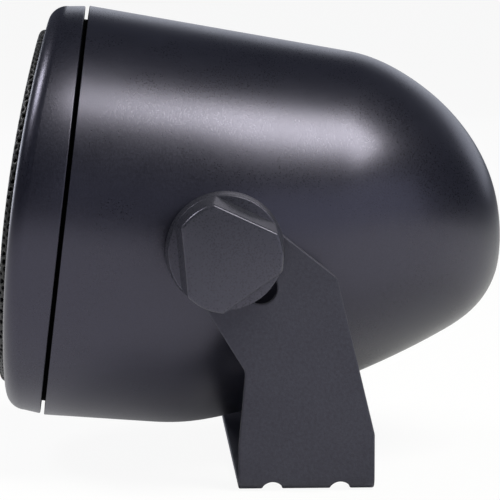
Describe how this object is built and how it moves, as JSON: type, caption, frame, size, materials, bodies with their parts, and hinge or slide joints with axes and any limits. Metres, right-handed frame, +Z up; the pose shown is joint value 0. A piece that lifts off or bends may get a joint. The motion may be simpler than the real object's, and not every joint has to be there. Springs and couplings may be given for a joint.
{
  "type": "bullet loudspeaker on a tilting bracket",
  "caption": "Bullet-shaped loudspeaker with a curved perforated front, held by two hand knobs in the slotted arms of a folded steel bracket.",
  "frame": {"origin": "centre of the bracket's mounting face, midway between its two round fixing holes", "axes": "+Z up from the mounting face, front of the loudspeaker towards -Y, pivot axis along X, right knob at +X"},
  "size_m": [0.1814, 0.1626, 0.1464],
  "materials": {
    "cabinet_plastic": "fine-grained satin black moulding",
    "knob_plastic": "satin black moulding",
    "bracket_paint": "matte black powder coat",
    "grille_paint": "black painted perforated steel",
    "basket_paint": "black painted pressed steel",
    "zinc_steel": "zinc-plated steel",
    "brass": "plain brass",
    "copper": "enamelled copper winding on a former",
    "ferrite": "dull ferrite",
    "nylon": "black nylon",
    "black_rubber": "soft black rubber",
    "cone_paper": "coated black paper",
    "spider_cloth": "resin-dipped cloth",
    "terminal_plastic": "black moulding",
    "lever_red": "red moulding",
    "lever_black": "black moulding",
    "lead_sheath": "insulated wire",
    "wadding": "loose white wadding"
  },
  "bodies": {
    "bracket_body": {"bracket": "bracket_paint"},
    "carriage": {"slot_bush_right": "nylon", "slot_bush_left": "nylon"},
    "cabinet": {"housing": "cabinet_plastic", "bezel": "cabinet_plastic", "grille": "grille_paint", "mouth_gasket": "black_rubber", "bezel_screws": "zinc_steel", "pivot_inserts": "brass", "driver_basket": "basket_paint", "driver_gasket": "black_rubber", "driver_screws": "zinc_steel", "magnet": "ferrite", "top_plate": "zinc_steel", "pole_plate": "zinc_steel", "surround": "black_rubber", "spider": "spider_cloth", "terminal_block": "terminal_plastic", "terminal_contacts": "brass", "terminal_screws": "zinc_steel", "lead_wires": "lead_sheath", "damping_wadding": "wadding"},
    "washer_right_body": {"knob_washer_right": "zinc_steel"},
    "knob_right_body": {"knob_right": "knob_plastic", "knob_stud_right": "zinc_steel"},
    "washer_left_body": {"knob_washer_left": "zinc_steel"},
    "knob_left_body": {"knob_left": "knob_plastic", "knob_stud_left": "zinc_steel"},
    "cone_assembly": {"cone": "cone_paper", "dust_cap": "cone_paper", "voice_coil": "copper"},
    "lever_red_body": {"terminal_lever_red": "lever_red"},
    "lever_black_body": {"terminal_lever_black": "lever_black"}
  },
  "joints": [
    {"name": "pivot_slide", "type": "slide", "parent": "bracket_body", "child": "carriage", "axis": [0, 0.682, -0.7314], "range_m": [0, 0.008]},
    {"name": "cabinet_tilt", "type": "hinge", "parent": "carriage", "child": "cabinet", "pos_m": [0, -0.025, 0.074], "axis": [-1, 0, 0], "range_deg": [-15, 28]},
    {"name": "knob_right_travel", "type": "slide", "parent": "cabinet", "child": "washer_right_body", "axis": [1, 0, 0], "range_m": [0, 0.00375]},
    {"name": "knob_right_turn", "type": "hinge", "parent": "washer_right_body", "child": "knob_right_body", "pos_m": [0, -0.025, 0.074], "axis": [1, 0, 0], "range_deg": [0, 1083]},
    {"name": "knob_left_travel", "type": "slide", "parent": "cabinet", "child": "washer_left_body", "axis": [-1, 0, 0], "range_m": [0, 0.00375]},
    {"name": "knob_left_turn", "type": "hinge", "parent": "washer_left_body", "child": "knob_left_body", "pos_m": [0, -0.025, 0.074], "axis": [-1, 0, 0], "range_deg": [0, 1083]},
    {"name": "cone_travel", "type": "slide", "parent": "cabinet", "child": "cone_assembly", "axis": [0, -0.9932, 0.1167], "range_m": [-0.0025, 0.0025], "stiffness_N_per_m": 1200, "deforming": ["surround", "spider"]},
    {"name": "lever_red_press", "type": "hinge", "parent": "cabinet", "child": "lever_red_body", "pos_m": [-0.0075, 0.007, 0.02157], "axis": [-1, 0, 0], "range_deg": [0, 18], "stiffness_Nm_per_rad": 0.01},
    {"name": "lever_black_press", "type": "hinge", "parent": "cabinet", "child": "lever_black_body", "pos_m": [0.0075, 0.007, 0.02157], "axis": [-1, 0, 0], "range_deg": [0, 18], "stiffness_Nm_per_rad": 0.01}
  ],
  "couplings": [
    {"joint": "knob_right_turn", "follows": "knob_right_travel", "rad_per_m": 5026.5},
    {"joint": "knob_left_turn", "follows": "knob_left_travel", "rad_per_m": 5026.5}
  ]
}
